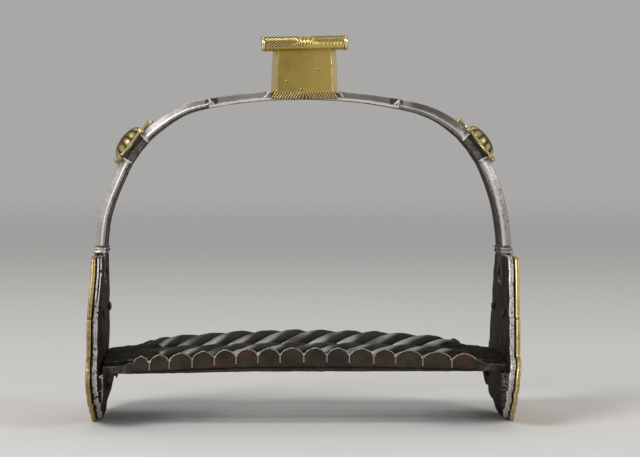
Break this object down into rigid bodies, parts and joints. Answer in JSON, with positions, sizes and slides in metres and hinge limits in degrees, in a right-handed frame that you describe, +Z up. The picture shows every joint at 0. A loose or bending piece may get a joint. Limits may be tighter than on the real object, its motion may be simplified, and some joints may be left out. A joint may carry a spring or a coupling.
{
  "type": "stirrup",
  "caption": "Riding stirrup with a bevelled steel bow, a brass strap head and rosettes, brass-faced side plates and an open tread of scaled rails and twisted iron bars.",
  "frame": {"origin": "on the ground, midway between the tips of the two side plates", "axes": "+X across the foot opening, +Y from the brass front of the head to the back, +Z up along the bow"},
  "size_m": [0.145, 0.0684, 0.1334],
  "materials": {
    "bow_steel": "worn bright steel with fine pitting",
    "ferrule_steel": "worn dark steel",
    "plate_steel": "dark forged steel, bright on its edges",
    "rivet_steel": "dark steel",
    "loop_steel": "dark worn steel",
    "tread_iron": "dark wrought iron with brown rust",
    "twist_iron": "dark wrought iron, rubbed bright on the strands",
    "head_brass": "worn satin brass",
    "overlay_brass": "worn satin brass, engraved",
    "rosette_brass": "worn brass, dark in the grooves"
  },
  "bodies": {
    "root": {"bow": "bow_steel", "ferrule_left": "ferrule_steel", "ferrule_right": "ferrule_steel", "side_plate_left": "plate_steel", "side_plate_right": "plate_steel", "overlay_left": "overlay_brass", "overlay_right": "overlay_brass", "tread_end_left": "tread_iron", "tread_end_right": "tread_iron", "tread_rail_front": "tread_iron", "tread_rail_rear": "tread_iron", "twist_middle": "twist_iron", "twist_front": "twist_iron", "twist_rear": "twist_iron", "strap_loop": "loop_steel", "strap_bar": "loop_steel", "head_plate": "head_brass", "head_roll": "head_brass", "rosette_left": "rosette_brass", "rosette_right": "rosette_brass", "rosette_rivet_left": "rosette_brass", "rosette_rivet_right": "rosette_brass", "overlay_rivet_left_1": "rivet_steel", "overlay_rivet_left_2": "rivet_steel", "overlay_rivet_left_3": "rivet_steel", "overlay_rivet_left_4": "rivet_steel", "overlay_rivet_left_5": "rivet_steel", "head_pin_left_1": "head_brass", "head_pin_left_2": "head_brass", "overlay_rivet_right_1": "rivet_steel", "overlay_rivet_right_2": "rivet_steel", "overlay_rivet_right_3": "rivet_steel", "overlay_rivet_right_4": "rivet_steel", "overlay_rivet_right_5": "rivet_steel", "head_pin_right_1": "head_brass", "head_pin_right_2": "head_brass"}
  },
  "joints": []
}
